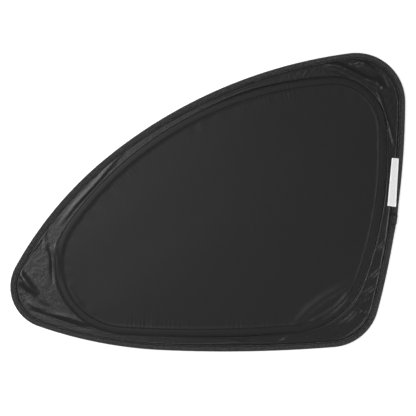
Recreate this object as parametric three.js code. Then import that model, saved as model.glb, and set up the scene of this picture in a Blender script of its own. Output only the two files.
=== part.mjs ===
import * as THREE from "three";

// A twist-fold shade for a car's side window. A sprung wire hoop runs in a folded tape round the rim. Thin,
// slack cloth joins the tape to a dark panel, whose edge is turned under as a hem and sewn over that border.
// It lies flat, front up. X runs to the rear of the car, Y up the window and Z out of the cloth, in mm.

// Rim outline, over the tape
const length = 513;
const height = 388;
const crownRadius = 64;
const noseRadius = 54;
const noseRise = 84;
const heelRadius = 64;
const heelInset = 97.5;
const heelRise = 69.5;

// A side leaves each corner at a lead: the angle, in degrees, between its end there and the line from corner
// to corner. Its balance is how much of the bend its second arc takes for its first.
const topSide = { leadFrom: 23.9, leadTo: 29.8, balance: 0.54 };
const bottomSide = { leadFrom: 16.9, leadTo: 6.9, balance: 1.34 };
const rearSide = { leadFrom: 7.3, leadTo: 7.2, balance: 1 };

// Panel outline: its corners are set back from the rim's corners, towards the heart of the panel
const heartInset = 189;
const heartRise = 170;
const crownSetback = 47;
const noseSetback = 100;
const heelSetback = 84.5;
const panelCrownRadius = 69;
const panelNoseRadius = 92;
const panelHeelRadius = 108;
const panelTopSide = { leadFrom: 29.2, leadTo: 21.8, balance: 1 };
const panelBottomSide = { leadFrom: 8.6, leadTo: -0.3, balance: 1 };
const panelRearSide = { leadFrom: -1.8, leadTo: 24.8, balance: 1 };

// Cloth, tape and wire
const wireDiameter = 2;
const wireClearance = 0.3;
const tapeThickness = 0.6;
const tapeWidth = 8;
const borderThickness = 0.4;
const panelThickness = 0.5;
const hemWidth = 10.4;
const clothGap = 0.3;
const panelSag = 0.8;
const borderTuck = 4.4;

// Joint of the hoop and of the tape's ends, measured down the rear side from the crown
const jointOffset = 153;
const hoopGap = 1;
const sleeveLength = 20;
const sleeveWall = 0.4;
const sleeveClearance = 0.1;
const tapeLap = 12;
const lapThickness = 0.6;

// Label, sewn over the tape's inner edge
const labelOffset = 74;
const labelLength = 62;
const labelWidth = 10;
const labelThickness = 0.5;
const labelSeamGap = 5.9;

// Folds of the slack cloth: a ridge runs through three points given from the centre of a rim corner. The
// width is from its crest to its foot, and a negative height is a valley.
const folds = [
  { corner: "crown", path: [[-38, 51], [-2, 37], [35, 17]], width: 7, height: 2.6 },
  { corner: "crown", path: [[26, 18], [42, -24], [52, -60]], width: 5, height: 1.6 },
  { corner: "crown", path: [[-8, 47], [5, 52], [19, 47]], width: 4, height: 1.2 },
  { corner: "crown", path: [[20, 30], [28, 28], [33, 17]], width: 6, height: 1.8 },
  { corner: "nose", path: [[-42, 24], [-34, 10], [-23, -6]], width: 8, height: 2.4 },
  { corner: "nose", path: [[-3, 54], [0, 24], [1, 1]], width: 6, height: -1.2 },
  { corner: "nose", path: [[7, 52], [9, 24], [9, 4]], width: 6, height: 1.2 },
  { corner: "nose", path: [[-17, -10], [-12, -17], [-6, -23]], width: 5, height: 1.4 },
  { corner: "nose", path: [[20, 5], [31, -13], [45, -30]], width: 7, height: 0.9 },
  { corner: "heel", path: [[-50, -38], [-10, 0], [36, 25]], width: 9, height: 1.8 },
  { corner: "heel", path: [[-26, -31], [4, -15], [27, 13]], width: 6, height: 1.3 },
  { corner: "heel", path: [[52, 26], [58, 31], [65, 38]], width: 5, height: 1.4 },
  { corner: "heel", path: [[41, 5], [50, 9], [58, 15]], width: 5, height: 1.4 },
  { corner: "heel", path: [[11, -36], [24, -28], [35, -16]], width: 5, height: 1.4 },
  { corner: "heel", path: [[37, -12], [43, -18], [47, -22]], width: 4, height: 1.2 },
];
const foldRise = 6;

// Facets
const rimPerCorner = 12;
const clothPerCorner = 26;
const sideSpacing = 31;
const wireSides = 8;

// Heights and radii worked out from the sizes above
const wireRadius = wireDiameter / 2;
const tunnelRadius = wireRadius + wireClearance;
const middle = tunnelRadius + tapeThickness;
const legInside = borderThickness / 2 + clothGap;
const legOutside = legInside + tapeThickness;
const sleeveBore = wireRadius + sleeveClearance;
const sleeveRadius = sleeveBore + sleeveWall;
const swell = sleeveRadius + clothGap / 2 - tunnelRadius;
const hemThickness = 2 * panelThickness + clothGap;
const hemFold = hemThickness / 2;
const panelStep = 3;
const tiny = 0.01;

// An outline is a closed chain of arcs, anticlockwise: a round at each corner, and two arcs along each side
const corners = {
  crown: { x: length - crownRadius, y: height - crownRadius, r: crownRadius },
  nose: { x: noseRadius, y: noseRise, r: noseRadius },
  heel: { x: length - heelInset, y: heelRise, r: heelRadius },
};

function setBack(corner, distance, radius) {
  const dx = length - heartInset - corner.x;
  const dy = heartRise - corner.y;
  const share = distance / Math.hypot(dx, dy);
  return { x: corner.x + dx * share, y: corner.y + dy * share, r: radius };
}

function unit(angle) {
  return new THREE.Vector2(Math.cos(angle), Math.sin(angle));
}

// The arc that leaves a point at a heading and ends at another point
function arcThrough(from, heading, to) {
  const inward = new THREE.Vector2(-heading.y, heading.x);
  const across = to.clone().sub(from);
  const r = across.lengthSq() / (2 * inward.dot(across));
  const centre = from.clone().addScaledVector(inward, r);
  const start = from.clone().sub(centre).angle();
  const sweep = THREE.MathUtils.euclideanModulo(to.clone().sub(centre).angle() - start, 2 * Math.PI);
  return { x: centre.x, y: centre.y, r, start, length: r * sweep };
}

// A side between two corners: the angles at which it leaves the first and meets the second, and two arcs
// that join smoothly. Their tangents from the corners are reach and reach * balance long.
function sideBetween(a, b, { leadFrom, leadTo, balance }) {
  const square = Math.atan2(b.y - a.y, b.x - a.x) - Math.PI / 2;
  const start = square - THREE.MathUtils.degToRad(leadFrom);
  const end = square + THREE.MathUtils.degToRad(leadTo);
  const from = unit(start).multiplyScalar(a.r).add(a);
  const to = unit(end).multiplyScalar(b.r).add(b);
  const setOut = unit(start + Math.PI / 2);
  const arrive = unit(end + Math.PI / 2);
  const whole = to.clone().sub(from);
  const bend = 2 * balance * (1 - setOut.dot(arrive));
  const run = 2 * whole.dot(setOut.clone().addScaledVector(arrive, balance));
  const reach = (Math.sqrt(run ** 2 + 4 * bend * whole.lengthSq()) - run) / (2 * bend);
  const first = from.clone().addScaledVector(setOut, reach);
  const second = to.clone().addScaledVector(arrive, -reach * balance);
  const meet = first.clone().lerp(second, 1 / (1 + balance));
  const heading = second.sub(first).normalize();
  return { start, end, arcs: [arcThrough(from, setOut, meet), arcThrough(meet, heading, to)] };
}

function outline(rounds, sides) {
  const joined = rounds.map((round, i) => sideBetween(round, rounds[(i + 1) % rounds.length], sides[i]));
  return rounds.flatMap((round, i) => {
    const start = joined.at(i - 1).end;
    const sweep = THREE.MathUtils.euclideanModulo(joined[i].start - start, 2 * Math.PI);
    return [[{ ...round, start, length: round.r * sweep }], joined[i].arcs];
  });
}

const { crown, nose, heel } = corners;
const rim = outline([crown, nose, heel], [topSide, bottomSide, rearSide]);
const panelCrown = setBack(crown, crownSetback, panelCrownRadius);
const panelNose = setBack(nose, noseSetback, panelNoseRadius);
const panelHeel = setBack(heel, heelSetback, panelHeelRadius);
const seam = outline([panelCrown, panelNose, panelHeel], [panelTopSide, panelBottomSide, panelRearSide]);

// Stations are places round the outline, named by stretch and by the fraction of it behind them
const rearStretch = rim.length - 1;
const rearLength = stretchLength(rim[rearStretch]);

function stretchLength(arcs) {
  return arcs.reduce((sum, arc) => sum + arc.length, 0);
}

// A place on an outline, at a depth in from it
function onOutline(loop, station, depth) {
  const arcs = loop[station.stretch];
  let left = station.fraction * stretchLength(arcs);
  let arc = arcs[0];
  if (arcs.length > 1 && left > arc.length) {
    left -= arc.length;
    arc = arcs[1];
  }
  const angle = arc.start + left / arc.r;
  const reach = arc.r - depth;
  return new THREE.Vector2(arc.x + reach * Math.cos(angle), arc.y + reach * Math.sin(angle));
}

function rearStation(distanceFromCrown) {
  return { stretch: rearStretch, fraction: 1 - distanceFromCrown / rearLength };
}

// The distance of a station from the middle of the hoop's joint
function fromJoint(station) {
  if (station.stretch !== rearStretch) return Infinity;
  return Math.abs((1 - station.fraction) * rearLength - jointOffset);
}

const jointSteps = [hoopGap / 2, tapeLap / 2, tapeLap / 2 + lapThickness];
const liftSteps = [0.5, 1, 1.5, 2].map((share) => share * sleeveLength);
const labelStops = [0, 0.25, 0.5, 0.75, 1].map((share) => labelOffset + share * labelLength);

function bothSides(step) {
  return [jointOffset - step, jointOffset + step];
}

// Even stations on every stretch, and stops of its own on the rear side
function stationsRound(perCorner, stops) {
  const list = [];
  rim.forEach((arcs, stretch) => {
    const count = stretch % 2 === 0 ? perCorner : Math.ceil(stretchLength(arcs) / sideSpacing);
    for (let i = 0; i < count; i += 1) list.push({ stretch, fraction: i / count });
  });
  list.push(...stops.map(rearStation));
  list.sort((a, b) => a.stretch - b.stretch || a.fraction - b.fraction);
  return list.filter((station, i) => {
    const next = list[i + 1];
    if (!next || next.stretch !== station.stretch) return true;
    return (next.fraction - station.fraction) * stretchLength(rim[station.stretch]) > tiny;
  });
}

// 1 within a distance of the joint, and 0 beyond the fade
function nearJoint(station, flat, fade) {
  return 1 - THREE.MathUtils.smoothstep(fromJoint(station), flat, flat + fade);
}

// How far the sleeve swells the tape's tunnel, how much the lapped ends thicken the tape, and how far the
// rim is lifted there so that its underside stays on the surface it lies on
function tunnelSwell(station) {
  return swell * nearJoint(station, sleeveLength / 2, sleeveLength / 2);
}

function lapHeight(station) {
  return lapThickness * nearJoint(station, tapeLap / 2, lapThickness);
}

function rimLift(station) {
  return (swell + lapThickness) * nearJoint(station, sleeveLength / 2, 1.5 * sleeveLength);
}

// Height of the folds at a place on the cloth
function foldHeight(place) {
  let sum = 0;
  for (const fold of folds) {
    const { x, y } = corners[fold.corner];
    const [from, via, to] = fold.path.map(([dx, dy]) => new THREE.Vector2(x + dx, y + dy));
    const before = crossing(place, from, via, 0, fold.width);
    const after = crossing(place, via, to, 0.5, fold.width);
    sum += fold.height * Math.max(before, after);
  }
  return sum;
}

// Share of a fold's height beside one half of its ridge: full at mid-ridge, none at its ends or foot
function crossing(place, from, to, before, width) {
  const run = to.clone().sub(from);
  const share = THREE.MathUtils.clamp(place.clone().sub(from).dot(run) / run.lengthSq(), 0, 1);
  const away = place.distanceTo(from.clone().addScaledVector(run, share));
  if (away >= width) return 0;
  const taper = Math.sin(Math.PI * (before + share / 2)) ** 0.5;
  return taper * Math.cos((away / width) * (Math.PI / 2)) ** 2;
}

// Rows of the cloth, from the rim to the inside of the panel. A row is placed between the tape's inner edge
// and the seam, or at a depth inside the seam. The cloth is free to fold between the tape and the last row.
const borderShares = [0.15, 0.35, 0.55, 0.78];
const panelDepths = [hemWidth + panelStep, 20, 27, 34, 42];
const lastDepth = panelDepths.at(-1);

function tuckPlace(station, depth) {
  const place = onOutline(rim, station, depth);
  return { place, z: middle + rimLift(station) };
}

function borderPlace(station, share) {
  const outer = onOutline(rim, station, tapeWidth + clothGap);
  const inner = onOutline(seam, station, hemFold);
  const place = outer.clone().lerp(inner, share);
  const rise = Math.min(foldRise, outer.distanceTo(inner));
  const free = THREE.MathUtils.smoothstep(outer.distanceTo(place), 0, rise);
  return { place, z: middle + rimLift(station) * (1 - share) + foldHeight(place) * free };
}

function panelPlace(station, depth) {
  const place = onOutline(seam, station, depth);
  const free = 1 - THREE.MathUtils.smoothstep(depth, lastDepth - foldRise, lastDepth);
  return { place, z: middle + foldHeight(place) * free };
}

function lifted({ place, z }, height) {
  return new THREE.Vector3(place.x, place.y, z + height);
}

// A skin over a grid of points, one list of points per station. It closes on itself along the stations,
// across them or both, and the ends' triangles fill what stays open.
function skin(grid, { along = true, across = true, ends = [] } = {}) {
  const width = grid[0].length;
  const points = grid.flat();
  const index = [];
  const stationSteps = along ? grid.length : grid.length - 1;
  const rowSteps = across ? width : width - 1;
  for (let i = 0; i < stationSteps; i += 1) {
    const here = i * width;
    const next = ((i + 1) % grid.length) * width;
    for (let j = 0; j < rowSteps; j += 1) {
      const k = (j + 1) % width;
      const quad = [here + j, next + j, next + k, here + k];
      const [a, b, c, d] = shorterFirst(quad, points) ? quad : [quad[1], quad[2], quad[3], quad[0]];
      index.push(a, b, c, a, c, d);
    }
  }
  const edges = new Set();
  for (let i = 0; i < index.length; i += 3) {
    edgesOf(index.slice(i, i + 3)).forEach((edge) => edges.add(edge));
  }
  ends.forEach((triangles) => {
    const against = triangles.some((triangle) => edgesOf(triangle).some((edge) => edges.has(edge)));
    triangles.forEach((triangle) => index.push(...(against ? triangle.toReversed() : triangle)));
  });
  const geometry = new THREE.BufferGeometry();
  geometry.setAttribute("position", new THREE.Float32BufferAttribute(points.flatMap((p) => p.toArray()), 3));
  geometry.setIndex(index);
  return geometry;
}

// Whether the first diagonal of a four-cornered patch is the shorter in plan. Both faces of a sheet then
// share the same diagonals, so that its thickness stays even.
function shorterFirst([a, b, c, d], points) {
  const first = Math.hypot(points[a].x - points[c].x, points[a].y - points[c].y);
  const second = Math.hypot(points[b].x - points[d].x, points[b].y - points[d].y);
  return first < second;
}

function edgesOf([a, b, c]) {
  return [`${a} ${b}`, `${b} ${c}`, `${c} ${a}`];
}

// Triangles across one section of a bar or strip, between its two facing halves
function barEnd(section, width) {
  const triangles = [];
  for (let j = 0; j < width / 2 - 1; j += 1) {
    const [a, b, c, d] = [j, j + 1, width - 2 - j, width - 1 - j].map((k) => section * width + k);
    triangles.push([a, b, c], [a, c, d]);
  }
  return triangles;
}

function signedVolume(geometry) {
  const position = geometry.getAttribute("position");
  const index = geometry.getIndex();
  const [a, b, c] = [new THREE.Vector3(), new THREE.Vector3(), new THREE.Vector3()];
  let sum = 0;
  for (let i = 0; i < index.count; i += 3) {
    a.fromBufferAttribute(position, index.getX(i));
    b.fromBufferAttribute(position, index.getX(i + 1));
    c.fromBufferAttribute(position, index.getX(i + 2));
    sum += a.dot(b.cross(c)) / 6;
  }
  return sum;
}

// Turns the skin's triangles over where they face inwards
function faceOut(geometry) {
  if (signedVolume(geometry) > 0) return geometry;
  const index = geometry.getIndex();
  for (let i = 0; i < index.count; i += 3) {
    const second = index.getX(i + 1);
    index.setX(i + 1, index.getX(i + 2));
    index.setX(i + 2, second);
  }
  return geometry;
}

function node(name, geometry, color, roughness, metalness = 0) {
  const solid = faceOut(geometry);
  solid.computeVertexNormals();
  const mesh = new THREE.Mesh(solid, new THREE.MeshStandardMaterial({ color, roughness, metalness }));
  mesh.name = name;
  return mesh;
}

const rimStations = stationsRound(rimPerCorner, [...jointSteps, ...liftSteps].flatMap(bothSides));
const clothStations = stationsRound(clothPerCorner, [...liftSteps.flatMap(bothSides), ...labelStops]);

// A point of a section across the rim: depth in from the edge, and height from the middle of the rim
function onRim(station, depth, up) {
  const place = onOutline(rim, station, depth);
  return new THREE.Vector3(place.x, place.y, middle + rimLift(station) + up);
}

// The tape's section: a round of flat facets about the wire, and two legs that hold the border's edge
const roundAngles = [67.5, 112.5, 157.5, 202.5, 247.5, 292.5].map(THREE.MathUtils.degToRad);

function tapeFace(radius, leg) {
  const reach = radius / Math.cos(Math.PI / 8);
  const round = roundAngles.map((a) => [middle + reach * Math.cos(a), reach * Math.sin(a)]);
  const neck = round[0][0] + radius - leg;
  return [[tapeWidth, leg], [neck, leg], ...round, [neck, -leg], [tapeWidth, -leg]];
}

function tapeSection(station) {
  const tunnel = tunnelRadius + tunnelSwell(station);
  const lap = lapHeight(station);
  const outside = tapeFace(tunnel + tapeThickness + lap, legOutside + lap);
  const inside = tapeFace(tunnel, legInside);
  return [...outside, ...inside.reverse()].map(([depth, up]) => onRim(station, depth, up));
}

// The wire's section, and the sleeve's: rings of the same facets at their own radii
function ringSection(station, radius) {
  return Array.from({ length: wireSides }, (_, i) => {
    const angle = (2 * Math.PI * (i + 0.5)) / wireSides;
    return onRim(station, middle - radius * Math.cos(angle), radius * Math.sin(angle));
  });
}

// The wire starts past the joint and runs round the rim to the joint's other side
function hoop() {
  const past = jointOffset - hoopGap / 2;
  const start = rimStations.findIndex((s) => sameStation(s, rearStation(past)));
  const order = [...rimStations.slice(start), ...rimStations.slice(0, start)];
  const grid = order.map((station) => ringSection(station, wireRadius));
  return skin(grid, { along: false, ends: [barEnd(0, wireSides), barEnd(grid.length - 1, wireSides)] });
}

function sameStation(a, b) {
  return a.stretch === b.stretch && Math.abs(a.fraction - b.fraction) * rearLength < tiny;
}

function sleeve() {
  const held = rimStations.filter((station) => fromJoint(station) < sleeveLength / 2 + tiny);
  const outside = held.map((station) => ringSection(station, sleeveRadius));
  const inside = held.map((station) => ringSection(station, sleeveBore)).reverse();
  return skin([...outside, ...inside]);
}

// The border's section, front rows from the tape to the panel and back rows the other way
function borderSection(station) {
  const rows = [
    tuckPlace(station, borderTuck),
    ...[0, ...borderShares, 1].map((share) => borderPlace(station, share)),
    panelPlace(station, hemWidth),
  ];
  const front = rows.map((row) => lifted(row, borderThickness / 2));
  const back = rows.map((row) => lifted(row, -borderThickness / 2)).reverse();
  return [...front, ...back];
}

// The panel's section from the middle of its front, over the hem's fold, to the middle of its back
function panelSection(station) {
  const flatRows = panelDepths.map((depth) => panelPlace(station, depth));
  const hemRow = panelPlace(station, hemWidth);
  const foldRow = panelPlace(station, hemFold);
  const legBottom = borderThickness / 2 + clothGap;
  const legTop = legBottom + panelThickness;
  const sheetBottom = legTop + clothGap;
  const sheetTop = sheetBottom + panelThickness;
  const round = [45, 0, -45].map(THREE.MathUtils.degToRad).map((angle) => {
    const place = onOutline(seam, station, hemFold * (1 - Math.cos(angle)));
    return lifted({ place, z: foldRow.z }, legBottom + hemFold * (1 + Math.sin(angle)));
  });
  return [
    ...flatRows.map((row) => lifted(row, sheetTop - panelSag)).reverse(),
    lifted(hemRow, sheetTop),
    lifted(foldRow, sheetTop),
    ...round,
    lifted(foldRow, legBottom),
    lifted(hemRow, legBottom),
    lifted(hemRow, legTop),
    lifted(foldRow, legTop),
    lifted(foldRow, sheetBottom),
    lifted(hemRow, sheetBottom),
    ...flatRows.map((row) => lifted(row, sheetBottom - panelSag)),
  ];
}

function panel() {
  const grid = clothStations.map(panelSection);
  const width = grid[0].length;
  const edge = grid.map(([first]) => new THREE.Vector2(first.x, first.y));
  const flats = THREE.ShapeUtils.triangulateShape(edge, []);
  const ends = [0, width - 1].map((row) => flats.map((triangle) => triangle.map((i) => i * width + row)));
  return skin(grid, { across: false, ends });
}

// Depth of the seam below a place on the rear side, measured square to the rim
function seamDepth(station) {
  const edge = onOutline(rim, station, 0);
  const inward = onOutline(rim, station, 1).sub(edge);
  const depths = seam[rearStretch].map((arc) => {
    const fromArc = edge.clone().sub(arc);
    const facing = -inward.dot(fromArc);
    return facing - Math.sqrt(facing ** 2 - fromArc.lengthSq() + arc.r ** 2);
  });
  return Math.min(...depths);
}

// The label's section: over the tape's leg, then down to the border beside the seam
function labelSection(station) {
  const inner = seamDepth(station) - labelSeamGap;
  const outer = inner - labelWidth;
  const tapeEdge = tapeWidth + clothGap;
  const onTape = legOutside + clothGap;
  const rise = Math.max(0, middle + tunnelRadius + tapeThickness - outer);
  const under = [
    [outer, onTape + rise],
    [tapeEdge, onTape],
    [inner, borderThickness / 2 + clothGap],
  ];
  const over = under.map(([depth, up]) => [depth, up + labelThickness]);
  return [...over, ...under.reverse()];
}

function label() {
  const grid = labelStops.map(rearStation)
    .map((station) => labelSection(station).map(([depth, up]) => onRim(station, depth, up)));
  const width = grid[0].length;
  return skin(grid, { along: false, ends: [barEnd(0, width), barEnd(grid.length - 1, width)] });
}

const shade = new THREE.Group();
shade.add(
  node("edge_binding", skin(rimStations.map(tapeSection)), 0x3d3d3e, 0.85),
  node("spring_hoop", hoop(), 0x9a9da1, 0.35, 1),
  node("hoop_sleeve", sleeve(), 0xb0b3b6, 0.4, 1),
  node("border_panel", skin(clothStations.map(borderSection)), 0x2f2f31, 0.45),
  node("center_panel", panel(), 0x363638, 0.7),
  node("label", label(), 0xe6e6e6, 0.8),
);

// The origin lies under the middle of the rim's outer box
const box = new THREE.Box3().setFromObject(shade);
const centre = box.getCenter(new THREE.Vector3());
shade.children.forEach((piece) => piece.position.set(-centre.x, -centre.y, 0));

export default shade;
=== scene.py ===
import math

import bmesh
import bpy
import numpy as np
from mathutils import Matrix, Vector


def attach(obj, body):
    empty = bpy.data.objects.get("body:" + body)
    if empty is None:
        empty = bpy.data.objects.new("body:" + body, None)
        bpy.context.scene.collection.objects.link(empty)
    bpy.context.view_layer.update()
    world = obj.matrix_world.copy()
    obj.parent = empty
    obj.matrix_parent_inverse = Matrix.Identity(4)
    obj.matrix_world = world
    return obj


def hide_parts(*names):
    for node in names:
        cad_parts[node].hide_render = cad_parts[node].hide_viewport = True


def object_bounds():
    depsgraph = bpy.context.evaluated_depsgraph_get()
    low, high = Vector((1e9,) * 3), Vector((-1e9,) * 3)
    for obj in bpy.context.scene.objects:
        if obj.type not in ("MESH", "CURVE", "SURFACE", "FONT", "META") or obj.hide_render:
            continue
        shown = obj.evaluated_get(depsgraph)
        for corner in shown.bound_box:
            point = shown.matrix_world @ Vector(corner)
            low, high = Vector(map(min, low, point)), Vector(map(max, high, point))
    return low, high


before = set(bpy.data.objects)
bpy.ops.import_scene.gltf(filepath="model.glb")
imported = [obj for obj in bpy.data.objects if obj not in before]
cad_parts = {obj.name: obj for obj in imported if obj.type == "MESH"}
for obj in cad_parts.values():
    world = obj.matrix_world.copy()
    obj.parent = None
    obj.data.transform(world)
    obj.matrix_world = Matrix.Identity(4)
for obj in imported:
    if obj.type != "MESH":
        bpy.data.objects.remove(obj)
cad_low, cad_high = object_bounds()

# Edge binding. A woven tape, 20 mm wide, folded over the sprung wire and the border's raw edge and sewn
# through with one row of thread. Its ends lap on the rear side, where the wire's joint makes a bump.
MM = 0.001
LENGTH = 513.0
HEIGHT = 388.0
origin = np.array([cad_high.x / MM - LENGTH, cad_high.y / MM - HEIGHT])
crown = (LENGTH - 64, HEIGHT - 64, 64)
nose = (54, 84, 54)
heel = (LENGTH - 97.5, 69.5, 64)
corner_centres = {"crown": crown, "nose": nose, "heel": heel}
REAR = 5
JOINT_OFFSET = 153.0
MIDDLE = 1.9
TAPE_WIDTH = 8.0
TAPE_THICKNESS = 0.6
TUNNEL_RADIUS = 1.3
LEG_INSIDE = 0.5
STITCH_ROW = 6.3
STITCH_DENT = 0.3
DENT_WIDTH = 0.4
LAP_HALF = 6.0
LAP_FADE = 0.6
SLEEVE_SWELL = 0.35
JOINT_LIFT = 0.95
EDGE_WAVER = 0.22
EDGE_ROUND = 0.22
EDGE_LIFT = 0.22
TACK_AT = [25.5, 93.5]
TACK_RADIUS = 3.2
MAP_STEP = 0.7
TAPE_ROUGHNESS = 0.82
# Near-black colour painted into the tape, border and panel as painted shade along stitched lines, tucks and
# edges
PAINTED_SHADE_COLOUR = (0.0015, 0.0015, 0.0015, 1)
SLUB_RANGE = (0.3, 0.7)
FAR = 1e9


def unit(angle):
    return np.array([math.cos(angle), math.sin(angle)])


def arc_through(start, heading, end):
    """Centre, radius, first angle and length of the arc that leaves start at a heading and meets end."""
    inward = np.array([-heading[1], heading[0]])
    across = end - start
    r = across @ across / (2 * inward @ across)
    centre = start + inward * r
    first = math.atan2(*(start - centre)[::-1])
    last = math.atan2(*(end - centre)[::-1])
    return (centre[0], centre[1], r, first, r * ((last - first) % (2 * math.pi)))


def side_between(a, b, lead_from, lead_to, balance):
    """Two arcs from one corner round to the next, and the angles at which they leave and meet them."""
    square = math.atan2(b[1] - a[1], b[0] - a[0]) - math.pi / 2
    start = square - math.radians(lead_from)
    end = square + math.radians(lead_to)
    leave = unit(start) * a[2] + a[:2]
    join = unit(end) * b[2] + b[:2]
    set_out = unit(start + math.pi / 2)
    arrive = unit(end + math.pi / 2)
    whole = join - leave
    bend = 2 * balance * (1 - set_out @ arrive)
    run = 2 * whole @ (set_out + arrive * balance)
    reach = (math.sqrt(run**2 + 4 * bend * whole @ whole) - run) / (2 * bend)
    first = leave + set_out * reach
    second = join - arrive * reach * balance
    meet = first + (second - first) / (1 + balance)
    heading = (second - first) / np.linalg.norm(second - first)
    return start, end, [arc_through(leave, set_out, meet), arc_through(meet, heading, join)]


def outline(rounds, sides):
    """Six stretches of arcs, anticlockwise: a round, the side after it, and so on."""
    joined = [side_between(rounds[i], rounds[(i + 1) % 3], *sides[i]) for i in range(3)]
    stretches = []
    for i, (x, y, r) in enumerate(rounds):
        first = joined[i - 1][1]
        sweep = (joined[i][0] - first) % (2 * math.pi)
        stretches += [[(x, y, r, first, r * sweep)], joined[i][2]]
    return stretches


def stretch_length(arcs):
    return sum(arc[4] for arc in arcs)


def stations_round(pitch):
    """Places round the rim, each a stretch and the share of it behind, about one pitch apart."""
    places = []
    for stretch, arcs in enumerate(rim):
        count = max(8, round(stretch_length(arcs) / pitch))
        places += [(stretch, i / count) for i in range(count)]
    return places


def traced(loop, places):
    """Arc centre, radius and direction from the centre, for each place on an outline."""
    centre, radius, angle = [], [], []
    for stretch, share in places:
        arcs = loop[stretch]
        left = share * stretch_length(arcs)
        arc = arcs[0]
        if len(arcs) > 1 and left > arc[4]:
            left -= arc[4]
            arc = arcs[1]
        centre.append(arc[:2])
        radius.append(arc[2])
        angle.append(arc[3] + left / arc[2])
    direction = np.stack([np.cos(angle), np.sin(angle)], 1)
    return np.array(centre), np.array(radius)[:, None], direction


def at_depth(trace, depth):
    centre, radius, direction = trace
    return centre + (radius - depth) * direction


def run_of(points):
    """Distance along a closed line of points, from its first."""
    steps = np.linalg.norm(np.roll(points, -1, 0) - points, axis=1)
    return np.concatenate([[0], np.cumsum(steps)[:-1]]), steps.sum()


def smooth(value, low, high):
    t = np.clip((value - low) / (high - low), 0, 1)
    return t * t * (3 - 2 * t)


def from_joint(places):
    """Distance of each place from the middle of the wire's joint, far for those on other stretches."""
    rear = stretch_length(rim[REAR])
    return np.array([abs((1 - f) * rear - JOINT_OFFSET) if s == REAR else FAR for s, f in places])


def waves(along, whole, seed, longest, shortest, count=24):
    """A smooth random wave, about 1 high, that closes on itself over a whole length."""
    rng = np.random.default_rng(seed)
    total = np.zeros_like(along, dtype=float)
    for _ in range(count):
        cycles = max(1, round(whole / rng.uniform(shortest, longest)))
        total += np.sin(2 * math.pi * (cycles * along / whole + rng.random()))
    return total / math.sqrt(count)


def cloth_mesh(name, rows, closed_across, uv=None, painted_shade=None):
    """A mesh piece from rows of points, row by row across and station by station along."""
    rows = np.asarray(rows)
    across, along = rows.shape[:2]
    points = (rows.reshape(-1, 3) + [*origin, 0]) * MM
    j = np.arange(across if closed_across else across - 1)[:, None]
    i = np.arange(along)[None, :]
    here, after = j * along + i, j * along + (i + 1) % along
    up = ((j + 1) % across) * along
    quads = np.stack([here, after, up + (i + 1) % along, up + i], -1).reshape(-1, 4).tolist()
    mesh = bpy.data.meshes.new(name)
    mesh.from_pydata(points.tolist(), [], quads)
    finish_mesh(mesh, uv)
    # A mask of painted shade, read by the materials to darken the cloth along stitches, tucks and edges
    if painted_shade is not None:
        shade_mark = mesh.attributes.new("painted_shade", "FLOAT", "POINT")
        spread = np.broadcast_to(np.asarray(painted_shade, dtype=np.float32), (across, along))
        shade_mark.data.foreach_set("value", spread.ravel())
    piece = bpy.data.objects.new(name, mesh)
    bpy.context.collection.objects.link(piece)
    return piece


def finish_mesh(mesh, uv=None):
    """Turns the faces outwards, smooths them, and lays an own map in metres over the points."""
    work = bmesh.new()
    work.from_mesh(mesh)
    bmesh.ops.recalc_face_normals(work, faces=work.faces)
    work.to_mesh(mesh)
    work.free()
    mesh.shade_smooth()
    if uv is not None:
        layer = mesh.uv_layers.new(name="cloth")
        corner = np.empty(len(mesh.loops), dtype=np.int32)
        mesh.loops.foreach_get("vertex_index", corner)
        layer.data.foreach_set("uv", np.asarray(uv, dtype=np.float32)[corner].ravel())
    mesh.update()


rim = outline([crown, nose, heel], [(23.9, 29.8, 0.54), (16.9, 6.9, 1.34), (7.3, 7.2, 1.0)])
tape_places = stations_round(2.0)
tape_trace = traced(rim, tape_places)
tape_run, tape_whole = run_of(at_depth(tape_trace, 0))
tape_joint = from_joint(tape_places)


def lift_near(distance):
    """The rim stands higher at the joint, where the tape's lap and the wire's sleeve lie under it."""
    return JOINT_LIFT * (1 - smooth(distance, 10, 40))


def lap_near(distance):
    """How much the lapped ends thicken the tape at the joint."""
    return TAPE_THICKNESS * (1 - smooth(distance, LAP_HALF, LAP_HALF + LAP_FADE))


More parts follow.
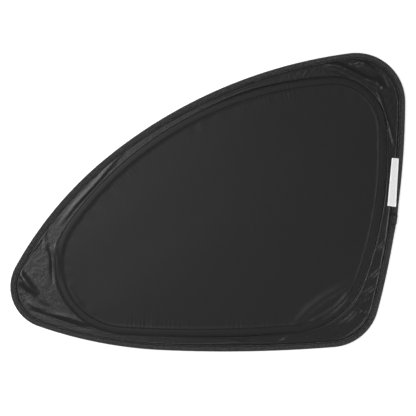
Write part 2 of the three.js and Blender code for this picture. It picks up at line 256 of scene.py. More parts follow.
def binding_rows():
    swell = SLEEVE_SWELL * (1 - smooth(tape_joint, 10, 20))
    lap = lap_near(tape_joint)
    lift = lift_near(tape_joint)
    ripple = waves(tape_run, tape_whole, seed=3, longest=26, shortest=7)
    pucker = waves(tape_run, tape_whole, seed=5, longest=5.5, shortest=2.8)
    edge = EDGE_WAVER * waves(tape_run, tape_whole, seed=8, longest=60, shortest=12)
    from_tack = np.linalg.norm(at_depth(tape_trace, 4) - TACK_AT, axis=1)
    tack = np.exp(-((from_tack / TACK_RADIUS) ** 2))
    outside, inside = [], []
    angles = np.radians(np.linspace(52, 308, 17))
    for angle in angles:
        r = TUNNEL_RADIUS + TAPE_THICKNESS + swell + lap
        outside.append((MIDDLE + r * math.cos(angle) * 0.98, r * math.sin(angle)))
    for angle in angles[::2]:
        r = TUNNEL_RADIUS + swell
        inside.append((MIDDLE + r * math.cos(angle), r * math.sin(angle)))
    leg_depths = [TAPE_WIDTH, 7.7, 7.0, 6.6, STITCH_ROW, 6.0, 5.4, 4.6, 3.9]
    leg_rise = []
    for depth in leg_depths:
        dent = STITCH_DENT * math.exp(-(((depth - STITCH_ROW) / DENT_WIDTH) ** 2))
        edge_round = EDGE_ROUND if depth == TAPE_WIDTH else 0.0
        free = smooth(depth, 6.4, TAPE_WIDTH)
        height = LEG_INSIDE + TAPE_THICKNESS + lap - dent - edge_round + 0.08 * pucker * (1 - free)
        height = height + EDGE_LIFT * free * np.maximum(ripple, -0.6) + 0.1 * ripple * (depth < 6)
        leg_rise.append(height - 0.5 * tack * (depth > 4.2))
    # Painted shade across the tape where the lapped ends step down at the joint, and at the tack
    lap_end = smooth(tape_joint, 4.6, 5.6) - smooth(tape_joint, 7.0, 8.2)
    lap_and_tack_shade = np.maximum(0.8 * lap_end, 0.8 * tack)
    rows, shade_marks = [], []

    def row(depth, up, shade_mark=0.0):
        place = at_depth(tape_trace, np.broadcast_to(depth, tape_joint.shape)[:, None])
        rows.append(np.column_stack([place, MIDDLE + lift + up]))
        shade_marks.append(np.maximum(shade_mark, lap_and_tack_shade))

    def painted_shade_at(depth):
        """Painted shade along the stitches, and a lighter painted shade along the tape's edge."""
        if depth in (6.6, STITCH_ROW, 6.0):
            return 0.85
        return 0.5 if depth == TAPE_WIDTH else 0.0

    for depth, up in zip(leg_depths, leg_rise):
        row(depth + edge * (depth > 7.5), up, painted_shade_at(depth))
    for depth, up in outside:
        row(depth, up + 0.05 * pucker * np.sign(up))
    for depth, up in zip(leg_depths[::-1], leg_rise[::-1]):
        row(depth + edge * (depth > 7.5), -up, painted_shade_at(depth))
    for depth in (TAPE_WIDTH, 6.0, 4.3):
        row(depth, -LEG_INSIDE)
    for depth, up in inside[::-1]:
        row(depth, up)
    for depth in (4.3, 6.0, TAPE_WIDTH):
        row(depth, LEG_INSIDE)
    return rows, shade_marks


rows, shade_marks = binding_rows()
reach = np.arange(len(rows)) * MAP_STEP
uv = np.stack(np.meshgrid(tape_run, reach), -1).reshape(-1, 2) * MM
binding = cloth_mesh("binding_tape", rows, True, uv, shade_marks)


def material(name, base, rough, metallic=0.0):
    made = bpy.data.materials.new(name)
    made.use_nodes = True
    shader = made.node_tree.nodes["Principled BSDF"]
    shader.inputs["Base Color"].default_value = (*base, 1)
    shader.inputs["Roughness"].default_value = rough
    shader.inputs["Metallic"].default_value = metallic
    return made, made.node_tree.nodes, made.node_tree.links, shader


def weave_group():
    """Threads that pass over and under each other, from a place on the cloth in metres."""
    group = bpy.data.node_groups.new("plain_weave", "ShaderNodeTree")
    face = group.interface
    face.new_socket(name="Place", in_out="INPUT", socket_type="NodeSocketVector")
    face.new_socket(name="Thread pitch", in_out="INPUT", socket_type="NodeSocketFloat")
    face.new_socket(name="Unevenness", in_out="INPUT", socket_type="NodeSocketFloat")
    face.new_socket(name="Height", in_out="OUTPUT", socket_type="NodeSocketFloat")
    face.new_socket(name="Slub", in_out="OUTPUT", socket_type="NodeSocketFloat")
    nodes, links = group.nodes, group.links
    given = nodes.new("NodeGroupInput")
    taken = nodes.new("NodeGroupOutput")
    scaled = nodes.new("ShaderNodeVectorMath")
    scaled.operation = "DIVIDE"
    pitch = nodes.new("ShaderNodeCombineXYZ")
    for axis in "XYZ":
        links.new(given.outputs["Thread pitch"], pitch.inputs[axis])
    links.new(given.outputs["Place"], scaled.inputs[0])
    links.new(pitch.outputs[0], scaled.inputs[1])
    split = nodes.new("ShaderNodeSeparateXYZ")
    links.new(scaled.outputs[0], split.inputs[0])
    waved = []
    for axis in "XY":
        turn = nodes.new("ShaderNodeMath")
        turn.operation = "MULTIPLY"
        turn.inputs[1].default_value = math.pi
        links.new(split.outputs[axis], turn.inputs[0])
        sine = nodes.new("ShaderNodeMath")
        sine.operation = "SINE"
        links.new(turn.outputs[0], sine.inputs[0])
        waved.append(sine)
    cross = nodes.new("ShaderNodeMath")
    cross.operation = "MULTIPLY"
    links.new(waved[0].outputs[0], cross.inputs[0])
    links.new(waved[1].outputs[0], cross.inputs[1])
    slub = nodes.new("ShaderNodeTexNoise")
    slub.inputs["Scale"].default_value = 0.35
    slub.inputs["Detail"].default_value = 3
    links.new(scaled.outputs[0], slub.inputs["Vector"])
    uneven = nodes.new("ShaderNodeMath")
    uneven.operation = "MULTIPLY"
    links.new(slub.outputs["Fac"], uneven.inputs[0])
    links.new(given.outputs["Unevenness"], uneven.inputs[1])
    total = nodes.new("ShaderNodeMath")
    total.operation = "ADD"
    links.new(cross.outputs[0], total.inputs[0])
    links.new(uneven.outputs[0], total.inputs[1])
    links.new(total.outputs[0], taken.inputs["Height"])
    links.new(slub.outputs["Fac"], taken.inputs["Slub"])
    return group


weave = weave_group()


def weave_on(nodes, links, shader, place, pitch, uneven, strength, relief, tones):
    """Adds the weave's relief, and its slub as a mix of two tones, to a cloth's shader."""
    woven = nodes.new("ShaderNodeGroup")
    woven.node_tree = weave
    woven.inputs["Thread pitch"].default_value = pitch
    woven.inputs["Unevenness"].default_value = uneven
    links.new(place, woven.inputs["Place"])
    bump = nodes.new("ShaderNodeBump")
    bump.inputs["Strength"].default_value = strength
    bump.inputs["Distance"].default_value = relief
    links.new(woven.outputs["Height"], bump.inputs["Height"])
    links.new(bump.outputs[0], shader.inputs["Normal"])
    ramp = nodes.new("ShaderNodeValToRGB")
    ramp.color_ramp.elements[0].position = SLUB_RANGE[0]
    ramp.color_ramp.elements[0].color = (*tones[0], 1)
    ramp.color_ramp.elements[1].position = SLUB_RANGE[1]
    ramp.color_ramp.elements[1].color = (*tones[1], 1)
    links.new(woven.outputs["Slub"], ramp.inputs[0])
    links.new(ramp.outputs[0], shader.inputs["Base Color"])
    return bump, ramp


def paint_shade_in_grooves(nodes, links, shader, ramp, plain):
    """Paints shade into sewn-down and tucked lines: where the mask is set, the base colour is mixed towards
    near-black, and the cloth there is made duller.
    """
    shade_mark = nodes.new("ShaderNodeAttribute")
    shade_mark.attribute_name = "painted_shade"
    shade_mix = nodes.new("ShaderNodeMix")
    shade_mix.data_type = "RGBA"
    shade_mix.inputs[7].default_value = PAINTED_SHADE_COLOUR
    links.new(shade_mark.outputs["Fac"], shade_mix.inputs["Factor"])
    links.new(ramp.outputs[0], shade_mix.inputs[6])
    links.new(shade_mix.outputs[2], shader.inputs["Base Color"])
    dull = nodes.new("ShaderNodeMapRange")
    dull.inputs["To Min"].default_value = plain
    dull.inputs["To Max"].default_value = 1.0
    links.new(shade_mark.outputs["Fac"], dull.inputs["Value"])
    links.new(dull.outputs[0], shader.inputs["Roughness"])


tape_finish, nodes, links, shader = material("matt_woven_tape", (0.046, 0.046, 0.048), TAPE_ROUGHNESS)
along = nodes.new("ShaderNodeUVMap")
along.uv_map = "cloth"
_, ramp = weave_on(
    nodes, links, shader, along.outputs[0],
    pitch=0.0009, uneven=1.6, strength=0.7, relief=0.00025,
    tones=((0.010, 0.010, 0.0105), (0.052, 0.052, 0.053)),
)
# The tape gets painted shade along its stitches, its edge, the lap's ends and the tack
paint_shade_in_grooves(nodes, links, shader, ramp, TAPE_ROUGHNESS)
shader.inputs["Specular IOR Level"].default_value = 0.3
binding.data.materials.append(tape_finish)
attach(binding, "root")
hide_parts("edge_binding")

# Slack border. One thin, close-woven cloth with a sheen, cut a little long, so that it lies in folds at the
# corners. Its rim edge is held in the tape, and its inner edge lies under the panel's hem.
HEART = np.array([LENGTH - 189, 170.0])
HEM_WIDTH = 10.4
HEM_FOLD = 0.65
CLOTH_GAP = 0.3
TUCK = 4.4
BORDER_HALF = 0.2
DEEPEST = -1.5
WRINKLE = 0.07
# Strength of the painted shade along the border's and the panel's sewn and tucked lines
PAINTED_SHADE_AMOUNT = 0.9
BORDER_ROUGHNESS = 0.36


def set_back(corner, distance, radius):
    away = HEART - corner[:2]
    x, y = np.array(corner[:2]) + away * distance / np.linalg.norm(away)
    return (x, y, radius)


seam = outline(
    [set_back(crown, 47, 69), set_back(nose, 100, 92), set_back(heel, 84.5, 108)],
    [(29.2, 21.8, 1.0), (8.6, -0.3, 1.0), (-1.8, 24.8, 1.0)],
)

# Folds: corner, points of the ridge from the corner's centre, width from crest to foot, height
folds = [
    ("crown", [(-40, 51), (-20, 46), (-2, 37), (14, 29), (26, 23)], 6.0, 3.0),
    ("crown", [(14, 31), (24, 25), (35, 17)], 4.5, 1.8),
    ("crown", [(27, 16), (32, 4), (38, -16), (44, -34), (51, -60)], 2.8, 1.6),
    ("crown", [(22, 8), (27, -8), (33, -26), (41, -50)], 3.0, -0.6),
    ("crown", [(-8, 48), (5, 54), (19, 48)], 3.0, 1.6),
    ("crown", [(2, 46), (12, 49), (24, 42)], 2.6, 1.5),
    ("crown", [(20, 30), (27, 29), (33, 18)], 4.6, 2.4),
    ("crown", [(-46, 36), (-30, 38), (-14, 32)], 3.0, 0.8),
    ("crown", [(28, 38), (36, 30), (42, 18)], 3.0, -0.9),
    ("nose", [(-46, 26), (-40, 16), (-34, 8), (-25, -4), (-18, -10)], 6.0, 3.6),
    ("nose", [(-46, 12), (-38, 4), (-30, -4)], 4.0, 1.8),
    ("nose", [(-4, 54), (0, 38), (0.5, 22), (1.5, 4)], 3.2, -1.8),
    ("nose", [(5, 56), (7, 36), (8, 14)], 3.6, 1.3),
    ("nose", [(-17, -10), (-12, -17), (-5, -24)], 3.0, 1.3),
    ("nose", [(-9, 68), (-9, 58), (-8, 47)], 2.5, 1.0),
    ("nose", [(20, 5), (29, -10), (36, -21), (47, -31)], 3.5, 0.8),
    ("nose", [(-28, -30), (-8, -37), (16, -45), (48, -56)], 3.5, -1.1),
    ("nose", [(-32, -18), (-24, -24), (-12, -31)], 4.0, 1.2),
    ("nose", [(0, -34), (24, -40), (52, -50)], 4.0, 1.0),
    ("nose", [(10, 80), (28, 104), (56, 134), (92, 176)], 4.5, 1.0),
    ("nose", [(-26, 46), (-16, 60), (-6, 76)], 4.0, 0.8),
    ("heel", [(-50, -38), (-27, -14), (-10, -1), (12, 12), (34, 23)], 8.0, 1.9),
    ("heel", [(-26, -31), (-10, -24), (4, -15), (17, -2), (25, 12)], 4.6, 2.0),
    ("heel", [(-30, -40), (-27, -36), (-24, -33)], 2.2, 0.8),
    ("heel", [(50, 24), (58, 31), (66, 39)], 3.0, 1.1),
    ("heel", [(41, 5), (50, 9), (59, 16)], 3.0, 1.2),
    ("heel", [(34, -6), (44, -2), (52, 3)], 2.6, -0.8),
    ("heel", [(11, -35), (24, -27), (35, -15)], 3.0, 1.2),
    ("heel", [(37, -12), (43, -18), (48, -23)], 2.4, 1.2),
    ("heel", [(38, -22), (43, -17), (49, -14)], 2.4, 1.0),
    ("heel", [(61, 62), (66, 68), (72, 74)], 2.6, 1.0),
    ("heel", [(-122, -52), (-116, -54), (-108, -57)], 2.4, 0.8),
    ("heel", [(-66, -57), (-61, -55), (-54, -50)], 2.4, 0.8),
]


def ridge(xy, path, width):
    """Share of a fold's height at each place: full on its crest, tapering to its ends and its foot."""
    path = np.array(path, dtype=float)
    steps = np.linalg.norm(np.diff(path, axis=0), axis=1)
    behind = np.concatenate([[0], np.cumsum(steps)])
    best = np.full(len(xy), FAR)
    share = np.zeros(len(xy))
    for k in range(len(path) - 1):
        run = path[k + 1] - path[k]
        t = np.clip((xy - path[k]) @ run / (run @ run), 0, 1)
        away = np.linalg.norm(xy - path[k] - t[:, None] * run, axis=1)
        nearer = away < best
        best = np.where(nearer, away, best)
        share = np.where(nearer, (behind[k] + t * steps[k]) / behind[-1], share)
    crest = np.where(best < width, np.cos(np.clip(best / width, 0, 1) * math.pi / 2) ** 2, 0)
    return crest * np.sin(math.pi * np.clip(share, 0.001, 0.999)) ** 0.6


def fold_height(places):
    total = np.zeros(len(places))
    for corner, path, width, height in folds:
        xy = places - corner_centres[corner][:2]
        near = np.linalg.norm(xy - np.mean(path, axis=0), axis=1) < 100
        total[near] += height * ridge(xy[near], path, width)
    return total


def crumple(places, seed, count, longest, shortest):
    """Fine random creases: ridged waves in many directions."""
    rng = np.random.default_rng(seed)
    total = np.zeros(len(places))
    for _ in range(count):
        heading = unit(rng.uniform(0, math.pi)) * 2 * math.pi / rng.uniform(shortest, longest)
        bend = unit(rng.uniform(0, math.pi)) * 2 * math.pi / rng.uniform(40, 90)
        phase = places @ heading + 1.5 * np.sin(places @ bend + rng.uniform(0, 6)) + rng.uniform(0, 6)
        total += 1 - 2 * np.abs(np.sin(phase))
    return total / math.sqrt(count)


def fullness(places):
    """How slack the border is: most at the corners, least along the middle of the sides."""
    near = [
        np.exp(-((np.linalg.norm(places - corner[:2], axis=1) / 85) ** 2))
        for corner in (crown, nose, heel)
    ]
    return 0.16 + 0.84 * np.clip(sum(near), 0, 1)


def hump(distance, middle, width):
    """A low roll of cloth along a line, 1 high."""
    return np.cos(np.clip((distance - middle) / width, -1, 1) * math.pi / 2) ** 2


border_places = stations_round(1.7)
rim_trace = traced(rim, border_places)
seam_trace = traced(seam, border_places)
border_lift = lift_near(from_joint(border_places))
border_run, border_whole = run_of(at_depth(rim_trace, 0))


def border_rows():
    """Middle of the border cloth, from its tuck in the tape to its edge under the hem."""
    outer = at_depth(rim_trace, TAPE_WIDTH + CLOTH_GAP)
    inner = at_depth(seam_trace, HEM_FOLD)
    across = np.linalg.norm(inner - outer, axis=1)
    rows = [np.column_stack([at_depth(rim_trace, d), MIDDLE + border_lift]) for d in (TUCK, 6.4)]
    gather = waves(border_run, border_whole, seed=21, longest=14, shortest=5)
    # The border's painted shade: full where it lies inside the tape and under the hem, fading out within a
    # few millimetres beside the tape's edge and the hem's fold
    shade_marks = [np.ones(len(across)), np.ones(len(across))]
    for share in 0.5 - 0.5 * np.cos(np.linspace(0, math.pi, 27)):
        place = outer + (inner - outer) * share
        by_tape = 1 - smooth(across * share, 0.5, 1.6)
        by_hem = 1 - smooth(across * (1 - share), 1.0, 2.4)
        shade_marks.append(PAINTED_SHADE_AMOUNT * np.maximum(by_tape, by_hem))
        free = smooth(across * share, 0, np.minimum(6, across))
        slack = fullness(place) * smooth(across * share, 0, 5) * smooth(across * (1 - share), -2, 5)
        rise = fold_height(place) * free
        creases = crumple(place, seed=11, count=7, longest=44, shortest=18)
        rise = rise + WRINKLE * slack * creases + WRINKLE * slack * gather
        by_heel = 0.3 + 0.7 * np.exp(-((np.linalg.norm(place - heel[:2], axis=1) / 140) ** 2))
        roll = hump(across * share, 2.3, 1.7) + hump(across * (1 - share), 3.2, 1.8)
        rise = rise + 0.8 * by_heel * roll - 0.5 * hump(across * (1 - share), 1.2, 1.2)
        rise = np.maximum(rise, DEEPEST)
        rows.append(np.column_stack([place, MIDDLE + border_lift * (1 - share) + rise]))
    for depth in (3.5, 7, HEM_WIDTH):
        place = at_depth(seam_trace, depth)
        rows.append(np.column_stack([place, MIDDLE + fold_height(place)]))
        shade_marks.append(np.ones(len(across)))
    return np.array(rows), np.array(shade_marks)


middle_rows, shade_marks = border_rows()
front = middle_rows + [0, 0, BORDER_HALF]
back = (middle_rows - [0, 0, BORDER_HALF])[::-1]
rows = np.concatenate([front, back])
uv = rows.reshape(-1, 3)[:, :2] * MM
border = cloth_mesh("border_cloth", rows, True, uv, np.concatenate([shade_marks, shade_marks[::-1]]))

border_finish, nodes, links, shader = material(
    "thin_cloth_with_a_sheen", (0.028, 0.028, 0.031), BORDER_ROUGHNESS
)
place = nodes.new("ShaderNodeTexCoord")
bump, ramp = weave_on(
    nodes, links, shader, place.outputs["Object"],
    pitch=0.0005, uneven=0.8, strength=0.35, relief=0.00008,
    tones=((0.008, 0.008, 0.0085), (0.0125, 0.0125, 0.013)),
)
shader.inputs["Specular IOR Level"].default_value = 0.42
# The border gets painted shade beside the tape and under the hem
paint_shade_in_grooves(nodes, links, shader, ramp, BORDER_ROUGHNESS)
crease = nodes.new("ShaderNodeTexNoise")
crease.inputs["Scale"].default_value = 160
crease.inputs["Detail"].default_value = 4
crease.inputs["Distortion"].default_value = 0.8
links.new(place.outputs["Object"], crease.inputs["Vector"])
creased = nodes.new("ShaderNodeBump")
creased.inputs["Strength"].default_value = 0.5
creased.inputs["Distance"].default_value = 0.0008
links.new(crease.outputs["Fac"], creased.inputs["Height"])
links.new(creased.outputs[0], bump.inputs["Normal"])
border.data.materials.append(border_finish)
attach(border, "root")
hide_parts("border_panel")


# Panel. One sheet of smooth, close-woven cloth, which keeps the sun out. Its edge is turned under as a hem,
# laid over the border's inner edge and sewn down with two rows of thread.
panel_places = stations_round(2.1)
panel_trace = traced(seam, panel_places)
panel_run, panel_whole = run_of(at_depth(panel_trace, 0))
LEG_BOTTOM = 0.5
LEG_TOP = 1.0
SHEET_BOTTOM = 1.3
SHEET_TOP = 1.8
SAG = 0.8
HEM_ROW = 9.4
SEAM_ROW = 1.7
SEWN_HALF = 0.5
PANEL_ROUGHNESS = 0.46


def swells(places):
    """The panel's slow rises and hollows: a hollow runs up across it, with a rise near the heel."""
    x, y = (places - HEART).T
    hollow = np.exp(-(((x * 0.56 - y * 0.83 + 62) / 34) ** 2))
    rise = np.exp(-(((x * 0.75 - y * 0.66 - 88) / 22) ** 2)) * np.exp(-((y - 25) / 90) ** 2)
    return 0.55 * rise - 0.5 * hollow + 0.25 * np.sin(x / 61 + 1) * np.sin(y / 47)


def panel_rows():
    def face(height, depth, pucker=0.0):
        place = at_depth(panel_trace, depth)
        rise = fold_height(place) * (1 - smooth(depth, 36, 46))
        rise = rise + pucker + swells(place) * smooth(depth, 12, 40)
        return np.column_stack([place, MIDDLE + rise + height])

    pull = waves(panel_run, panel_whole, seed=31, longest=7, shortest=3)
    drag = waves(panel_run, panel_whole, seed=33, longest=34, shortest=14)
    inner_depths = [13.4, 15, 17, 19, 21.5, 24, 27, 30, 33, 36, 39, 42, 45, 48, 51]
    # Depth from the fold, and how far the thread draws the cloth down there
    dents = [
        (11.4, 0.6), (10.5, 0.22), (9.8, 0.2), (HEM_ROW, 0.34), (9.0, 0.16), (8.3, 0.0), (6.5, -0.04),
        (4.2, -0.02), (2.5, 0.05), (2.0, 0.12), (SEAM_ROW, 0.3), (1.4, 0.1), (HEM_FOLD, 0.0),
    ]

    def dragged(depth):
        """Waves that the sewing drags into the sheet beside the hem."""
        return 0.12 * (1 - smooth(depth, 12, 30)) * (pull + drag)

    top = [face(SHEET_TOP - SAG, depth, dragged(depth)) for depth in inner_depths[::-1]]
    # Painted shade along the two rows of sewing through the hem
    sewn = []
    for depth, dent in dents:
        top.append(face(SHEET_TOP - dent, depth, 0.06 * pull))
        from_row = min(abs(depth - HEM_ROW), abs(depth - SEAM_ROW))
        sewn.append(PAINTED_SHADE_AMOUNT if from_row < SEWN_HALF else 0.0)
    fold = []
    fold_z = fold_height(at_depth(panel_trace, HEM_FOLD)) + MIDDLE
    for angle in np.radians([60, 30, 0, -30, -60]):
        place = at_depth(panel_trace, HEM_FOLD * (1 - math.cos(angle)))
        fold.append(np.column_stack([place, fold_z + LEG_BOTTOM + HEM_FOLD * (1 + math.sin(angle))]))
    under = [face(LEG_BOTTOM, d) for d in (HEM_FOLD, 5, HEM_WIDTH)]
    under += [face(LEG_TOP, d) for d in (HEM_WIDTH, 5, HEM_FOLD)]
    under += [face(SHEET_BOTTOM, d) for d in (HEM_FOLD, 5, HEM_WIDTH)]
    under += [face(SHEET_BOTTOM - SAG, depth, dragged(depth)) for depth in inner_depths]
    ring = at_depth(panel_trace, inner_depths[-1])
    heart = []
    for share in np.linspace(0.05, 0.98, 16):
        place = ring + (HEART - ring) * share
        heart.append(np.column_stack([place, MIDDLE + swells(place)]))
    heart = np.array(heart)
    before = len(heart) + len(inner_depths)
    top = [*(heart[::-1] + [0, 0, SHEET_TOP - SAG]), *top]
    rows = np.array([*top, *fold, *under, *(heart + [0, 0, SHEET_BOTTOM - SAG])])
    shade_marks = np.zeros((len(rows), 1))
    shade_marks[before : before + len(sewn), 0] = sewn
    return rows, shade_marks


rows, shade_marks = panel_rows()
panel = cloth_mesh("panel_cloth", rows, False, rows.reshape(-1, 3)[:, :2] * MM, shade_marks)


def close_middle(piece, along):
    """Fans close the two small holes that are left at the heart of the sheet's faces."""
    work = bmesh.new()
    work.from_mesh(piece.data)
    work.verts.ensure_lookup_table()
    count = len(work.verts)
    ends = [[work.verts[first + i] for i in range(along)] for first in (0, count - along)]
    for ring in ends:
        middle = sum((v.co for v in ring), ring[0].co * 0) / along
        hub = work.verts.new(middle)
        for i, vert in enumerate(ring):
            work.faces.new((hub, vert, ring[(i + 1) % along]))
    bmesh.ops.recalc_face_normals(work, faces=work.faces)
    work.to_mesh(piece.data)
    work.free()
    piece.data.shade_smooth()


close_middle(panel, len(panel_places))
panel_finish, nodes, links, shader = material(
    "smooth_close_woven_cloth", (0.037, 0.037, 0.039), PANEL_ROUGHNESS
)
place = nodes.new("ShaderNodeTexCoord")
_, ramp = weave_on(
    nodes, links, shader, place.outputs["Object"],
    pitch=0.0004, uneven=0.7, strength=0.3, relief=0.00006,
    tones=((0.0125, 0.0125, 0.013), (0.0155, 0.0155, 0.016)),
)
shader.inputs["Specular IOR Level"].default_value = 0.22
# The panel gets painted shade along its rows of sewing
paint_shade_in_grooves(nodes, links, shader, ramp, PANEL_ROUGHNESS)
panel.data.materials.append(panel_finish)
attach(panel, "root")
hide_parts("center_panel")

# Sewing. Lock stitches of black thread, about 3 mm long: one row holds the tape, one the edge of the hem
# near its fold, and one the hem's inner edge. Each row shows on the front and on the back.
THREAD = 0.0004
STITCH = 0.0031
STITCH_SHARE = 0.46
THREAD_SINK = 0.16
UNDERSIDE = -0.24


def stitch_tree():
    tree = bpy.data.node_groups.new("row_of_stitches", "GeometryNodeTree")
    face = tree.interface
    face.new_socket(name="Path", in_out="INPUT", socket_type="NodeSocketGeometry")
    face.new_socket(name="Pitch", in_out="INPUT", socket_type="NodeSocketFloat")
    face.new_socket(name="Thread radius", in_out="INPUT", socket_type="NodeSocketFloat")
    face.new_socket(name="Stitch share", in_out="INPUT", socket_type="NodeSocketFloat")
    face.new_socket(name="Thread", in_out="INPUT", socket_type="NodeSocketMaterial")
    face.new_socket(name="Stitches", in_out="OUTPUT", socket_type="NodeSocketGeometry")
    nodes, links = tree.nodes, tree.links
    given = nodes.new("NodeGroupInput")
    taken = nodes.new("NodeGroupOutput")
    curve = nodes.new("GeometryNodeMeshToCurve")
    points = nodes.new("GeometryNodeCurveToPoints")
    points.mode = "LENGTH"
    bead = nodes.new("GeometryNodeMeshUVSphere")
    bead.inputs["Segments"].default_value = 6
    bead.inputs["Rings"].default_value = 4
    bead.inputs["Radius"].default_value = 1.0
    half = nodes.new("ShaderNodeMath")
    half.operation = "MULTIPLY"
    links.new(given.outputs["Pitch"], half.inputs[0])
    links.new(given.outputs["Stitch share"], half.inputs[1])
    size = nodes.new("ShaderNodeCombineXYZ")
    links.new(given.outputs["Thread radius"], size.inputs["X"])
    links.new(given.outputs["Thread radius"], size.inputs["Y"])
    links.new(half.outputs[0], size.inputs["Z"])
    placed = nodes.new("GeometryNodeInstanceOnPoints")
    real = nodes.new("GeometryNodeRealizeInstances")
    finish = nodes.new("GeometryNodeSetMaterial")
    links.new(given.outputs["Path"], curve.inputs[0])
    links.new(curve.outputs[0], points.inputs[0])
    links.new(given.outputs["Pitch"], points.inputs["Length"])
    links.new(points.outputs["Points"], placed.inputs["Points"])
    links.new(points.outputs["Rotation"], placed.inputs["Rotation"])
    links.new(bead.outputs[0], placed.inputs["Instance"])
    links.new(size.outputs[0], placed.inputs["Scale"])
    links.new(placed.outputs[0], real.inputs[0])
    links.new(real.outputs[0], finish.inputs[0])
    links.new(given.outputs["Thread"], finish.inputs["Material"])
    links.new(finish.outputs[0], taken.inputs[0])
    return tree


stitches = stitch_tree()
thread_finish, nodes, links, shader = material("black_polyester_thread", (0.01, 0.01, 0.01), 0.5)
place = nodes.new("ShaderNodeTexCoord")
weave_on(
    nodes, links, shader, place.outputs["Object"],
    pitch=0.00018, uneven=0.5, strength=0.5, relief=0.00004,
    tones=((0.004, 0.004, 0.004), (0.011, 0.011, 0.011)),
)


def sewn_row(name, lines):
    """One piece of stitches along closed lines of points, in millimetres."""
    points, edges = [], []
    for line in lines:
        first = len(points)
        points += ((line + [*origin, 0]) * MM).tolist()
        edges += [(first + i, first + (i + 1) % len(line)) for i in range(len(line))]
    mesh = bpy.data.meshes.new(name)
    mesh.from_pydata(points, edges, [])
    piece = bpy.data.objects.new(name, mesh)
    bpy.context.collection.objects.link(piece)
    modifier = piece.modifiers.new("stitches", "NODES")
    modifier.node_group = stitches
    values = {
        "Pitch": STITCH,
        "Thread radius": THREAD,
        "Stitch share": STITCH_SHARE,
        "Thread": thread_finish,
    }
    for item in stitches.interface.items_tree:
        if item.in_out == "INPUT" and item.name in values:
            modifier[item.identifier] = values[item.name]
    made = bpy.data.meshes.new_from_object(piece.evaluated_get(bpy.context.evaluated_depsgraph_get()))
    piece.modifiers.clear()
    piece.data = made
    made.name = name
    made.shade_smooth()
    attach(piece, "root")


def line_at(trace, depth, height):
    return np.column_stack([at_depth(trace, depth), height])


tape_lap = lap_near(tape_joint)
leg_face = LEG_INSIDE + TAPE_THICKNESS - THREAD_SINK
tape_middle = MIDDLE + lift_near(tape_joint)
sewn_row(
    "binding_stitches",
    [line_at(tape_trace, STITCH_ROW, tape_middle + side * (leg_face + tape_lap)) for side in (1, -1)],
)
for name, depth, above in (
    ("seam_stitches", SEAM_ROW, SHEET_TOP - 0.25),
    ("hem_stitches", HEM_ROW, SHEET_TOP - 0.35),
):
    level = MIDDLE + fold_height(at_depth(panel_trace, depth))
    sewn_row(name, [line_at(panel_trace, depth, level + z) for z in (above, UNDERSIDE)])

# Label. A white woven tag with firmer, whiter selvedges, left blank, laid over the tape's inner edge on the
# rear side and sewn down on its long sides.
LABEL_OFFSET = 74.0
LABEL_LENGTH = 62.0
LABEL_WIDTH = 10.0
LABEL_GAP = 5.9
LABEL_ENDS = 0.6
LABEL_THICKNESS = 0.45
SELVEDGE = 1.5


def label_rows():
    rear = stretch_length(rim[REAR])
    steps = np.linspace(-LABEL_ENDS, LABEL_LENGTH + LABEL_ENDS, 45)
    places = [(REAR, 1 - (LABEL_OFFSET + step) / rear) for step in steps]
    trace = traced(rim, places)
    edge = at_depth(trace, 0)
    inward = -trace[2]
    depth = np.full(len(places), FAR)
    for arc in seam[REAR]:
        apart = edge - np.array(arc[:2])
        facing = -(inward * apart).sum(1)
        depth = np.minimum(depth, facing - np.sqrt(facing**2 - (apart**2).sum(1) + arc[2] ** 2))
    lift = lift_near(from_joint(places))
    low_half = smooth(steps, 0, LABEL_LENGTH)
    inner = depth - LABEL_GAP - 0.5 * (1 - low_half)
    outer = inner - (8.9 + 2.0 * low_half)
    on_tape, on_border = 1.4, 0.5
    sides = []
    for share in np.linspace(0, 1, 13):
        at = outer + (inner - outer) * share
        down = smooth(at, TAPE_WIDTH + 0.2, TAPE_WIDTH + 4.5)
        round_rise = np.maximum(0, 3.8 - at) * 0.9
        up = on_tape + round_rise - (on_tape - on_border) * down + 0.07 * np.sin(steps / 6.3 + share * 2)
        plan = edge + inward * at[:, None]
        plan = plan[0] + (plan[-1] - plan[0]) * np.linspace(0, 1, len(places))[:, None]
        sides.append(np.column_stack([plan, MIDDLE + lift + up]))
    return np.array(sides)


rows = label_rows()
wide, long = rows.shape[:2]
shown = rows + [0, 0, LABEL_THICKNESS]
points = (np.concatenate([shown, rows]).reshape(-1, 3) + [*origin, 0]) * MM
faces = []
for layer, turn in ((0, 1), (wide * long, -1)):
    for j in range(wide - 1):
        for i in range(long - 1):
            at = layer + j * long + i
            faces.append((at, at + 1, at + long + 1, at + long)[::turn])
edge_ring = [j * long for j in range(wide)] + [(wide - 1) * long + i for i in range(1, long)]
edge_ring += [j * long + long - 1 for j in range(wide - 2, -1, -1)] + list(range(long - 2, 0, -1))
for k, at in enumerate(edge_ring):
    then = edge_ring[(k + 1) % len(edge_ring)]
    faces.append((at, then, then + wide * long, at + wide * long))
mesh = bpy.data.meshes.new("label_tag")
mesh.from_pydata(points.tolist(), [], faces)
across = np.repeat(np.linspace(0, LABEL_WIDTH, wide), long)
down_it = np.tile(np.linspace(0, LABEL_LENGTH, long), wide)
finish_mesh(mesh, np.tile(np.stack([across, down_it], 1) * MM, (2, 1)))
label = bpy.data.objects.new("label_tag", mesh)
bpy.context.collection.objects.link(label)

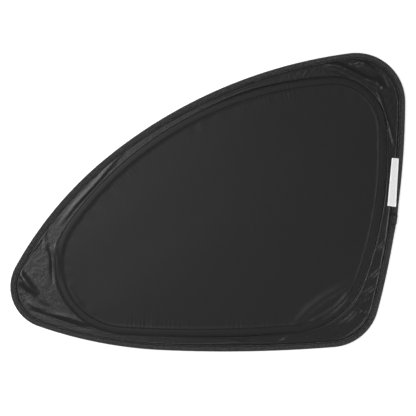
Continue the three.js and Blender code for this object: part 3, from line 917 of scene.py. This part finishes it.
label_finish, nodes, links, shader = material("white_woven_tag", (0.79, 0.79, 0.79), 0.75)
along = nodes.new("ShaderNodeUVMap")
along.uv_map = "cloth"
_, ramp = weave_on(
    nodes, links, shader, along.outputs[0],
    pitch=0.0005, uneven=0.8, strength=0.6, relief=0.0001,
    tones=((0.70, 0.70, 0.70), (0.80, 0.80, 0.80)),
)
split = nodes.new("ShaderNodeSeparateXYZ")
links.new(along.outputs[0], split.inputs[0])
beyond = []
for axis, size in (("X", LABEL_WIDTH), ("Y", LABEL_LENGTH)):
    centred = nodes.new("ShaderNodeMath")
    centred.operation = "SUBTRACT"
    centred.inputs[1].default_value = size * MM / 2
    links.new(split.outputs[axis], centred.inputs[0])
    away = nodes.new("ShaderNodeMath")
    away.operation = "ABSOLUTE"
    links.new(centred.outputs[0], away.inputs[0])
    over = nodes.new("ShaderNodeMath")
    over.operation = "GREATER_THAN"
    over.inputs[1].default_value = (size / 2 - SELVEDGE) * MM
    links.new(away.outputs[0], over.inputs[0])
    beyond.append(over)
selvedge = nodes.new("ShaderNodeMath")
selvedge.operation = "MAXIMUM"
for i, over in enumerate(beyond):
    links.new(over.outputs[0], selvedge.inputs[i])
mixed = nodes.new("ShaderNodeMix")
mixed.data_type = "RGBA"
links.new(selvedge.outputs[0], mixed.inputs["Factor"])
links.new(ramp.outputs[0], mixed.inputs[6])
mixed.inputs[7].default_value = (0.93, 0.93, 0.93, 1)
links.new(mixed.outputs[2], shader.inputs["Base Color"])
label.data.materials.append(label_finish)
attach(label, "root")
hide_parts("label")

# Hoop and sleeve. A drawn spring wire, 2 mm thick, bent into one closed hoop, and the crimped steel tube
# that joins its ends. Both are hidden in the tape.
for node, look, base, rough, scale in (
    ("spring_hoop", "bright_drawn_wire", (0.33, 0.34, 0.36), 0.35, 900),
    ("hoop_sleeve", "crimped_tube", (0.43, 0.45, 0.47), 0.4, 400),
):
    finish, nodes, links, shader = material(look, base, rough, metallic=1.0)
    place = nodes.new("ShaderNodeTexCoord")
    drawn = nodes.new("ShaderNodeTexNoise")
    drawn.inputs["Scale"].default_value = scale
    drawn.inputs["Detail"].default_value = 4
    links.new(place.outputs["Object"], drawn.inputs["Vector"])
    spread = nodes.new("ShaderNodeMapRange")
    spread.inputs["To Min"].default_value = 0.25
    spread.inputs["To Max"].default_value = 0.5
    links.new(drawn.outputs["Fac"], spread.inputs["Value"])
    links.new(spread.outputs[0], shader.inputs["Roughness"])
    solid = bpy.data.objects[node]
    solid.data.materials.clear()
    solid.data.materials.append(finish)

# Floor, light and camera. The shade lies front up on a white table and is seen from straight above. A broad
# lamp hangs over its left side, and two small ones stand low on the left and on the right.
FLOOR_HALF = 3.0
FLOOR_DROP = 0.0003
TABLE_GLOW = 0.42
WORLD_GLOW = 0.2
floor_mesh = bpy.data.meshes.new("table_top")
floor_mesh.from_pydata(
    [(x * FLOOR_HALF, y * FLOOR_HALF, -FLOOR_DROP) for x, y in ((-1, -1), (1, -1), (1, 1), (-1, 1))],
    [],
    [(0, 1, 2, 3)],
)
floor = bpy.data.objects.new("table_top", floor_mesh)
bpy.context.collection.objects.link(floor)
floor_finish, nodes, links, shader = material("white_table", (0.86, 0.86, 0.86), 0.9)
rays = nodes.new("ShaderNodeLightPath")
seen = nodes.new("ShaderNodeMath")
seen.operation = "MULTIPLY"
seen.inputs[1].default_value = TABLE_GLOW
links.new(rays.outputs["Is Camera Ray"], seen.inputs[0])
shader.inputs["Emission Color"].default_value = (1, 1, 1, 1)
links.new(seen.outputs[0], shader.inputs["Emission Strength"])
floor.data.materials.append(floor_finish)

world = bpy.data.worlds.new("studio")
bpy.context.scene.world = world
world.use_nodes = True
sky = world.node_tree.nodes["Background"]
sky.inputs["Color"].default_value = (1, 1, 1, 1)
sky.inputs["Strength"].default_value = WORLD_GLOW


def lamp(name, place, size, power):
    light = bpy.data.lights.new(name, "AREA")
    light.shape = "RECTANGLE"
    light.size, light.size_y = size
    light.energy = power
    thing = bpy.data.objects.new(name, light)
    bpy.context.collection.objects.link(thing)
    thing.location = place
    toward = -thing.location.normalized()
    thing.rotation_mode = "QUATERNION"
    thing.rotation_quaternion = toward.to_track_quat("-Z", "Y")


lamp("overhead_lamp", (-0.7, 0.3, 1.2), (0.5, 0.7), 12)
lamp("left_lamp", (-0.98, 0.42, 0.42), (0.35, 0.5), 7)
lamp("right_lamp", (0.95, -0.55, 0.42), (0.3, 0.4), 8.5)

CAMERA_HEIGHT = 1.8
SENSOR_WIDTH = 36
VIEW_WIDTH = 0.5408
camera_data = bpy.data.cameras.new("camera")
camera_data.sensor_width = SENSOR_WIDTH
camera_data.lens = SENSOR_WIDTH * CAMERA_HEIGHT / VIEW_WIDTH
camera = bpy.data.objects.new("camera", camera_data)
camera.location = (0.00025, -0.0076, CAMERA_HEIGHT)
bpy.context.collection.objects.link(camera)
bpy.context.scene.camera = camera
bpy.context.scene.view_settings.view_transform = "Standard"
